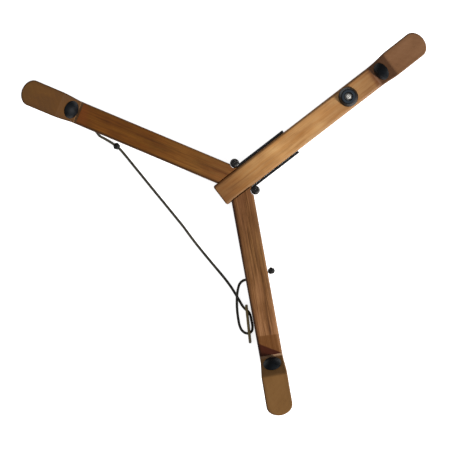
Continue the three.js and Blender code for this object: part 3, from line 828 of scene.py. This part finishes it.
def braided(name, line, radius, place, material):
    """A braided tube. Its strands cross over and under each other and stand proud of the gaps."""
    rings = []
    heights = []
    for row, (point, side, other) in enumerate(frames_along(line)):
        turn = 2 * math.pi * row * RING_STEP / BRAID_PITCH
        ring = []
        for i in range(CORD_SIDES):
            angle = 2 * math.pi * i / CORD_SIDES
            over = math.cos(BRAID_STRANDS * angle + turn)
            under = math.cos(BRAID_STRANDS * angle - turn)
            height = (max(over, under) + 1) / 2
            heights.append(height)
            reach = radius - BRAID_RELIEF * (1 - height)
            ring.append(tuple(point + (side * math.cos(angle) + other * math.sin(angle)) * reach))
        rings.append(ring)
    # The strand attribute holds each point's height, which the cord material paints as shade in the
    # gaps and highlight on the tops
    obj = made(name, *lofted(rings), place, material, merge=0, marks=[("strand", heights)])
    obj.data.polygons.foreach_set("use_smooth", [True] * len(obj.data.polygons))
    return obj


def knot(name, centre, sizes, place, lean):
    """A stopper knot pulled into a ball: three turns that weave up and down round it."""
    size, radius = sizes
    turn = Matrix.Rotation(lean, 3, "Z") @ Matrix.Rotation(KNOT_TILT, 3, "Y")
    line = []
    for i in range(KNOT_STEPS + 1):
        t = 2 * math.pi * i / KNOT_STEPS
        rise = KNOT_WEAVE * math.sin(4 * t)
        flat = math.cos(rise)
        loop = Vector((math.cos(3 * t) * flat, math.sin(3 * t) * flat, math.sin(rise)))
        reach = size - radius + KNOT_RIPPLE * math.sin(7 * t)
        line.append(Vector(centre) + turn @ (loop * reach))
    return braided(name, evenly(line, RING_STEP)[0], radius, place, SHADED_KNOT_CORD)


def cord_room(line, sides):
    """The room that the cord needs in a piece that it runs through."""
    return cutter(*plain_tube(line, CORD_ROOM, sides), CENTRE)


meeting = world(LEFT, LEFT_LINE[-1])
left_route = [world(LEFT, point) for point in LEFT_STRAND + [ANCHOR_KNOT] + LEFT_LINE]
right_route = [world(RIGHT, point) for point in RIGHT_LINE] + [meeting]
left_line, left_length = evenly(spline(left_route), RING_STEP)
right_line, right_length = evenly(spline(right_route), RING_STEP)

left_cord = braided("left_cord", left_line, CORD_R, CENTRE, CORD)
right_cord = braided("right_cord", right_line, CORD_R, CENTRE, CORD)
anchor_knot = knot("left_cord_knot", ANCHOR_KNOT, ANCHOR_KNOT_SIZE, LEFT, math.radians(-25))
stopper_knot = knot("right_cord_knot", STOPPER_KNOT, STOPPER_KNOT_SIZE, RIGHT, math.radians(90))
piece(anchor_knot, "left_arm", "cord", "anchor_knot")
piece(stopper_knot, "right_arm", "cord", "stopper_knot")

# ---- Toggle ----------------------------------------------------


def toggle():
    """A flat slat on edge with rounded ends, worn at its tip, with the cord's room through it."""
    length, thick, height = TOGGLE
    rings = []
    for i in range(TOGGLE_STATIONS + 1):
        x = length * (1 - math.cos(math.pi * i / TOGGLE_STATIONS)) / 2
        short = max(TOGGLE_END - min(x, length - x), 0)
        pull = TOGGLE_END - math.sqrt(max(TOGGLE_END ** 2 - short ** 2, 0))
        half = thick / 2 - pull * 0.9
        low, high = pull * 0.8, height - pull * 0.8
        corners = [(-half, low), (half, low), (half, high), (-half, high)]
        outline = rounded(corners, [min(TOGGLE_EDGE, half * 0.8)] * 4, 4)
        rings.append([(x, y, z) for y, z in outline])
    place = (RIGHT @ Matrix.Translation(Vector((*TOGGLE_AT, TOGGLE_LIFT)) * MM)
             @ Matrix.Rotation(TOGGLE_TURN, 4, "Z"))
    obj = made("toggle_slat", *lofted(rings), place, TOGGLE_WOOD)
    cut(obj, [cord_room(evenly(right_line, 2)[0], 16)])
    wear = [max(0, 1 - (length - vertex.co.x / MM) / WORN_TIP) for vertex in obj.data.vertices]
    obj.data.attributes.new("rim", "FLOAT", "POINT").data.foreach_set("value", wear)
    smooth(obj)
    return piece(obj, "right_arm", "toggle_wood", "toggle")


slat = toggle()

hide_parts("cord_strand", "cord_left")
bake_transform(left_cord)
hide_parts("cord_right")
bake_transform(right_cord)

# ---- Bars ------------------------------------------------------


def dowel_rooms(outer, place):
    """The rooms for the two dowels in the joint at the bar's outer end."""
    start, end = outer - DOWEL_DEEP, outer + DOWEL_DEEP + GAP
    return [cutter(*rod(DOWEL_R + GAP, (start, y, DOWEL_Z), (end, y, DOWEL_Z)), place)
            for y in (-DOWEL_Y, DOWEL_Y)]


def bar(name, inner, outer, place, material, seed):
    """A square bar with hand-sanded edges, whose rounding varies a little along it."""
    stations = [(inner + run, inset) for run, inset in INNER_END]
    start = inner + INNER_END[-1][0]
    long = outer - start - 1
    steps = round(long / BAR_STATION)
    stations += [(start + long * i / steps, 0) for i in range(1, steps)]
    stations += [(outer - run, inset) for run, inset in OUTER_END]
    rings = []
    for x, inset in stations:
        half = HALF - inset
        wear = [EDGE_WEAR * noise.noise(Vector((x / WEAR_LENGTH, seed + 3.1 * corner, 0.5)))
                for corner in range(4)]
        radii = [max(BAR_EDGE + amount - inset, LEAST_EDGE) for amount in wear]
        low, high = HALF - half, HALF + half
        corners = [(-half, low), (half, low), (half, high), (-half, high)]
        rings.append([(x, y, z) for y, z in rounded(corners, radii, 5)])
    return made(name, *lofted(rings), place, material)


def box_room(x0, x1, y0, y1, z0, z1):
    corners = [(x, y, z) for x in (x0, x1) for y in (y0, y1) for z in (z0, z1)]
    faces = [(0, 1, 3, 2), (4, 6, 7, 5), (0, 4, 5, 1), (2, 3, 7, 6), (0, 2, 6, 4), (1, 5, 7, 3)]
    return cutter(corners, faces, CENTRE)


def hub_rooms(side):
    """The rooms beside the centre arm: all beyond the mitre, the leaf pocket, and the knuckles."""
    x0, x1, wide, low, high = MITRE_ROOM
    start, near, far, bottom, top = LEAF_POCKET
    x, y = PIN[0], side * PIN[1]
    return [box_room(x0, x1, *sorted((side * -wide, side * MITRE_FACE)), low, high),
            box_room(start, x, *sorted((side * near, side * far)), bottom, top),
            cutter(*rod(KNUCKLE_ROOM, (x, y, low), (x, y, high), 48), CENTRE)]


centre_bar = bar("centre_bar", CENTRE_INNER, CENTRE_OUTER, CENTRE, CENTRE_WOOD, 0.4)
cut(centre_bar, dowel_rooms(CENTRE_OUTER, CENTRE))
left_bar = bar("left_bar", FOLDING_INNER, LEFT_OUTER, LEFT, LEFT_WOOD, 5.2)
in_left_bar = evenly(left_line[:90], 2)[0]
cut(left_bar, [*hub_rooms(1), cord_room(in_left_bar, 20), *dowel_rooms(LEFT_OUTER, LEFT)])
right_bar = bar("right_bar", FOLDING_INNER, RIGHT_OUTER, RIGHT, RIGHT_WOOD, 9.7)
through_right_bar = [world(RIGHT, point) for point in
                     ((91.4, 16, 12.7), *RIGHT_LINE[:3], (96.5, -16, 12.7))]
cut(right_bar, [*hub_rooms(-1), cord_room(through_right_bar, 20), *dowel_rooms(RIGHT_OUTER, RIGHT)])
for obj in (left_bar, right_bar):
    soften(obj, CUT_EDGE, 40)
    settle(obj)
for side, obj in (("centre", centre_bar), ("left", left_bar), ("right", right_bar)):
    smooth(obj)
    piece(obj, f"{side}_arm", f"{side}_wood", f"{side}_arm_bar")

# ---- End blocks ------------------------------------------------

CREASE_X = LANDING + THROAT_RUN
CREASE_Z = BLOCK_TOP + THROAT_RISE
TIP_X = CREASE_X + PADDLE_RUN
SLOPE = PADDLE_RISE / PADDLE_RUN
THROAT_SLOPE = THROAT_RISE / THROAT_RUN
THROAT_NORMAL = Vector((-THROAT_RISE, 0, THROAT_RUN)).normalized()


def underside(x):
    return CREASE_Z - PADDLE_THICK * math.hypot(1, SLOPE) + SLOPE * (x - CREASE_X)


def height_at(line, x):
    """The height of a rising outline at x."""
    for (x0, z0), (x1, z1) in zip(line, line[1:]):
        if x <= x1:
            return z0 + (z1 - z0) * (x - x0) / max(x1 - x0, 1e-9)
    return line[-1][1]


def block_outlines():
    """The top and the underside from the side, as (x, z) from the joint to past the tip."""
    past = TIP_X + 1
    top = opened([(0, BLOCK_TOP + JOINT_LIFT), (LANDING, BLOCK_TOP), (CREASE_X, CREASE_Z),
                  (past, CREASE_Z + SLOPE * (PADDLE_RUN + 1))], [LANDING_ROUND, CREASE_ROUND])
    meet = (underside(0) - BLOCK_BOTTOM + THROAT_SLOPE * HEEL) / (THROAT_SLOPE - SLOPE)
    start = meet - UNDER_BLEND
    z0 = underside(meet) - THROAT_SLOPE * UNDER_BLEND
    z1 = underside(meet)
    z2 = underside(meet + UNDER_BLEND)
    low = opened([(0, BLOCK_BOTTOM), (HEEL, BLOCK_BOTTOM), (start, z0)], [HEEL_ROUND])
    for step in range(1, 13):
        t = step / 12
        low.append((start + 2 * UNDER_BLEND * t,
                    (1 - t) ** 2 * z0 + 2 * t * (1 - t) * z1 + t ** 2 * z2))
    low.append((past, underside(past)))
    return top, low


def block_plan():
    """Half of the outline from above, joint to tip, as (x, half width, outward normal)."""
    flare_start = LANDING + 2
    flare_end = CREASE_X + 3
    straight_end = TIP_X - TIP_LENGTH
    rows = [(x, HALF) for x in JOINT_STATIONS]
    for step in range(15):
        t = step / 14
        x = ((1 - t) ** 3 * flare_start + 3 * t * (1 - t) ** 2 * (flare_start + 6)
             + 3 * t ** 2 * (1 - t) * (flare_end - 6) + t ** 3 * flare_end)
        rows.append((x, HALF + (PADDLE_HALF - HALF) * (3 * t ** 2 - 2 * t ** 3)))
    steps = 11
    long = straight_end - flare_end
    rows += [(flare_end + long * i / steps, PADDLE_HALF) for i in range(1, steps)]
    out = []
    for i, (x, half) in enumerate(rows):
        before, after = rows[max(i - 1, 0)], rows[min(i + 1, len(rows) - 1)]
        run = Vector((after[0] - before[0], after[1] - before[1])).normalized()
        out.append((x, half, Vector((-run.y, run.x))))
    for step in range(19):
        angle = math.pi / 2 * (1 - step / 18)
        x = straight_end + TIP_LENGTH * math.cos(angle)
        half = PADDLE_HALF * math.sin(angle)
        normal = Vector((math.cos(angle) / TIP_LENGTH, math.sin(angle) / PADDLE_HALF)).normalized()
        out.append((x, max(half, 1e-4), normal))
    return out


def level_row(corner):
    """The points from a corner across to its mirror image, without the two."""
    return [(corner[0], corner[1] * (1 - 2 * i / ACROSS), corner[2]) for i in range(1, ACROSS)]


def mirror(row):
    return [(x, -y, z) for x, y, z in row]


def end_block(name, outer, place, material):
    """The upturned end piece, with rounded edges all round its outline from above.

    The rim attribute marks its upper edges, and the shelf attribute the landing's top, where a
    painted highlight goes.
    """
    top, low = block_outlines()
    rings, rims, landing_highlights = [], [], []
    for x, half, normal in block_plan():
        # The edge of the face at the joint is eased a little
        face = 0.1 if x < 0.1 else 0.03 if x < 0.3 else 0

        def spot(radius, layer, line, up):
            angle = math.pi / 2 * layer / EDGE_LAYERS
            inset = min(radius * (1 - math.cos(angle)), half * 0.92) + face
            drop = radius * (1 - math.sin(angle)) + face
            px, py = x - normal.x * inset, half - normal.y * inset
            tilt = (height_at(line, px + 0.2) - height_at(line, px - 0.2)) / 0.4
            reach = drop * math.hypot(1, min(tilt, 1.3))
            return px, max(py, 0), height_at(line, px) - up * reach

        edge = PADDLE_EDGE if x > CREASE_X - 2 else THROAT_EDGE
        upper = [spot(edge, layer, top, 1) for layer in range(EDGE_LAYERS + 1)]
        lower = [spot(UNDER_EDGE, layer, low, -1) for layer in range(EDGE_LAYERS + 1)]
        wall = [tuple(Vector(lower[0]).lerp(Vector(upper[0]), t)) for t in (0.25, 0.5, 0.75)]
        side = lower[::-1] + wall + upper
        ring = side + level_row(upper[-1]) + mirror(side[::-1]) + level_row(mirror(lower)[-1])
        # The rounded upper edges are marked for the rim tint, which draws them darker
        rim = ([0] * (EDGE_LAYERS + 1) + [0, 0, 0.2]
               + [1 - abs(i / EDGE_LAYERS - 0.45) for i in range(EDGE_LAYERS + 1)])
        flat = [0] * (ACROSS - 1)
        # The landing's top is marked for a painted highlight, which fades out past the landing
        level = max(0, min(1, (LANDING + 0.9 - x) / 0.6))
        pale = [0] * (EDGE_LAYERS + 4) + [level] * (2 * EDGE_LAYERS + ACROSS - 1)
        rings.append([(px + outer, py, pz) for px, py, pz in ring])
        rims += rim + flat + rim[::-1] + flat
        landing_highlights += pale + [0] * (len(ring) - len(pale))
    obj = made(name, *lofted(rings), place, material, merge=2e-5,
               marks=[("rim", rims), ("landing_highlight", landing_highlights)])
    seat = bumper_seat(outer)
    stem = rod(STEM_R + GAP, seat - THROAT_NORMAL * (STEM_LENGTH + GAP), seat + THROAT_NORMAL * 2)
    cut(obj, [cutter(*stem, place), *dowel_rooms(outer, place)])
    smooth(obj, SHARP_BLOCK)
    return obj


def bumper_seat(outer):
    x = outer + LANDING + THROAT_RUN * BUMPER_AT
    return Vector((x, 0, BLOCK_TOP + THROAT_RISE * BUMPER_AT))


def bumper(name, outer, place):
    """A low rubber dome with a soft rim, on a stem."""
    cap = BUMPER_HEIGHT - BUMPER_RIM
    ball = (BUMPER_R ** 2 + cap ** 2) / (2 * cap)
    spread = math.asin(BUMPER_R / ball)
    profile = [(0, -STEM_LENGTH), (STEM_R - 0.5, -STEM_LENGTH), (STEM_R, -STEM_LENGTH + 0.5),
               (STEM_R, GAP), (BUMPER_R - 0.5, GAP), (BUMPER_R - 0.12, GAP + 0.12),
               (BUMPER_R, GAP + 0.35)]
    steps = 16
    for step in range(steps):
        angle = spread * (1 - step / steps)
        radius = ball * math.sin(angle) - 0.105 * math.exp(-((step / 1.2) ** 2))
        profile.append((radius, BUMPER_HEIGHT - ball * (1 - math.cos(angle))))
    profile.append((0, BUMPER_HEIGHT))
    points, faces = turned(profile, 56)
    turn = Vector((0, 0, 1)).rotation_difference(THROAT_NORMAL).to_matrix()
    seat = bumper_seat(outer)
    points = [tuple(seat + turn @ Vector(point)) for point in points]
    obj = made(name, points, faces, place, RUBBER)
    smooth(obj, SHARP_ROUND)
    return obj


for side, place, outer, material in (("centre", CENTRE, CENTRE_OUTER, CENTRE_BLOCK_WOOD),
                                     ("left", LEFT, LEFT_OUTER, LEFT_BLOCK_WOOD),
                                     ("right", RIGHT, RIGHT_OUTER, RIGHT_BLOCK_WOOD)):
    finger = end_block(f"{side}_finger", outer, place, material)
    dome = bumper(f"{side}_dome", outer, place)
    piece(finger, f"{side}_arm", "block_wood", f"{side}_end_block")
    piece(dome, f"{side}_arm", "rubber", f"{side}_bumper")

# ---- Foot, washer and screw ------------------------------------


def cross_rooms(top, place):
    """The two slots of a cross recess, which narrow as they go down."""
    reach, half, deep, lean = RECESS
    rooms = []
    for turn in (0, math.pi / 2):
        rings = []
        for z, scale in ((top - deep, 0.45), (top + 1, 1.15)):
            wide = reach * scale
            rings.append([(-wide, -half, z), (wide, -half, z), (wide, half, z), (-wide, half, z)])
        rooms.append(cutter(*lofted(rings), place @ Matrix.Rotation(turn + lean, 4, "Z")))
    return rooms


def above(place, height):
    return place @ Matrix.Translation((0, 0, height * MM))


FOOT_PROFILE = [
    (1.8, 0.3), (10.3, 0.3), (10.68, 0.45), (10.8, 0.8), (10.8, 1.7), (10.6, 2.2), (9.9, 4.6),
    (9.0, 7.4), (8.6, 8.4), (8.25, 9.0), (7.7, 9.38), (7.1, 9.5), (4.9, 9.5), (4.5, 9.36),
    (4.3, 9.0), (4.3, 4.6), (4.2, 4.5), (1.8, 4.5), (1.8, 0.3),
]
WASHER_PROFILE = [
    (1.8, 0), (3.8, 0), (3.9, 0.1), (3.9, 0.68), (3.78, WASHER_THICK), (1.9, WASHER_THICK),
    (1.8, 0.7), (1.8, 0),
]
SHANK_PROFILE = [(0, -18), (0.5, -17)]
for turn in range(22):
    z = -15.6 + turn * 0.7
    SHANK_PROFILE += [(1.5, z), (1.16, z + 0.35)]
HEAD_PROFILE = [
    (1.5, -0.05), (1.5, 0), (3.2, 0), (3.3, 0.1), (3.3, 1.0), (3.18, 1.4), (2.8, 1.9), (2.1, 2.24),
    (1.2, 2.37), (0, 2.4),
]

foot_place = Matrix.Translation(Vector((FOOT_X, 0, BAR)) * MM)
washer_z = FOOT_HEIGHT - FOOT_RECESS + GAP
washer_place = above(foot_place, washer_z)
screw_place = above(foot_place, washer_z + WASHER_THICK + GAP)
foot = made("rubber_foot", *turned(FOOT_PROFILE, 64), foot_place, FOOT_RUBBER)
washer = made("foot_washer", *turned(WASHER_PROFILE, 48), washer_place, BRIGHT_STEEL)
screw = turned(SHANK_PROFILE + HEAD_PROFILE, 40)
foot_screw = made("foot_screw", *screw, screw_place, BRIGHT_STEEL)
cut(foot_screw, cross_rooms(HEAD_PROFILE[-1][1], screw_place))
for obj, angle, slot, node in ((foot, SHARP_ROUND, "rubber", "top_foot"),
                               (washer, SHARP_SMALL, "bright_steel", "top_foot_washer"),
                               (foot_screw, SHARP_SMALL, "bright_steel", "top_foot_screw")):
    smooth(obj, angle)
    piece(obj, "centre_arm", slot, node)

# ---- Hinge pins, and the pieces kept from the CAD part ---------


def hinge_pin(name, side):
    """A pin whose domed heads close the ends of the knuckles."""
    low, high = LEAF_LOW - GAP, LEAF_HIGH + GAP
    turns = [math.radians(step) for step in range(0, 90, 10)]
    head = [(PIN_DOME_R - 0.3, 0)]
    head += [(PIN_DOME_R * math.cos(turn), PIN_DOME * math.sin(turn)) for turn in turns]
    head.append((0, PIN_DOME))
    profile = [(radius, low - height) for radius, height in reversed(head)]
    profile += [(PIN_R, low), (PIN_R, high)]
    profile += [(radius, high + height) for radius, height in head]
    place = Matrix.Translation(Vector((PIN[0], side * PIN[1], 0)) * MM)
    obj = made(name, *turned(profile, 40), place, RUBBED_STEEL)
    smooth(obj, SHARP_ROUND)
    return obj


for side, sign in (("left", 1), ("right", -1)):
    piece(hinge_pin(f"{side}_pin", sign), "centre_arm", "black_steel", f"{side}_hinge_pin")

for name, obj in frame["nodes"].items():
    if "leaf" in name:
        kind, width = BLACK_STEEL, SCREW_EDGE if "screw" in name else LEAF_EDGE
    elif "dowel" in name:
        kind, width = DOWEL_WOOD, 0
    else:
        continue
    for slot in obj.material_slots:
        slot.material = kind
    shade(obj, SHARP_SMALL)
    if width:
        soften(obj, width, SHARP)

# ---- Floor and light -------------------------------------------

floor_look = Look("pale_floor")
paper = floor_look.ramp(floor_look.cells(35, detail=4),
                        [(0.3, srgb(240, 240, 240)), (0.7, srgb(246, 246, 246))])
floor_look.surface(color=paper, rough=0.9)
floor_look.shader.inputs["Emission Color"].default_value = (1, 1, 1, 1)
floor_look.shader.inputs["Emission Strength"].default_value = 0.8
corners = [(x * FLOOR_HALF, y * FLOOR_HALF, 0) for x, y in ((-1, -1), (1, -1), (1, 1), (-1, 1))]
floor = made("floor", corners, [(0, 1, 2, 3)], Matrix.Translation((0, 0, -FLOOR_DROP * MM)),
             floor_look.material)
floor.visible_diffuse = False


def area_light(name, towards, elevation, distance, size, power, color):
    """A square light that shines on the object, in metres, degrees and watts."""
    data = bpy.data.lights.new(name, "AREA")
    data.shape = "SQUARE"
    data.size = size
    data.energy = power
    data.color = color
    light = bpy.data.objects.new(name, data)
    bpy.context.scene.collection.objects.link(light)
    rise = math.radians(elevation)
    way = Vector((*towards, 0)).normalized() * math.cos(rise) + Vector((0, 0, math.sin(rise)))
    turn = way.to_track_quat("Z", "Y").to_matrix().to_4x4()
    light.matrix_world = Matrix.Translation(way * distance) @ turn


area_light("key", towards=(0.39, -0.92), elevation=29, distance=2.0, size=0.42, power=50,
           color=(1, 0.985, 0.96))

world_look = bpy.data.worlds.new("studio")
world_look.use_nodes = True
bpy.context.scene.world = world_look
nodes = world_look.node_tree.nodes
links = world_look.node_tree.links
direction = nodes.new("ShaderNodeTexCoord")
height = nodes.new("ShaderNodeSeparateXYZ")
links.new(direction.outputs["Generated"], height.inputs[0])
sky = nodes.new("ShaderNodeValToRGB")
links.new(height.outputs[2], sky.inputs["Fac"])
low_sky, high_sky = sky.color_ramp.elements
low_sky.color = (0.03, 0.03, 0.03, 1)
high_sky.color = (0.6, 0.605, 0.62, 1)
links.new(sky.outputs["Color"], nodes["Background"].inputs["Color"])
bpy.context.scene.view_settings.view_transform = "Standard"
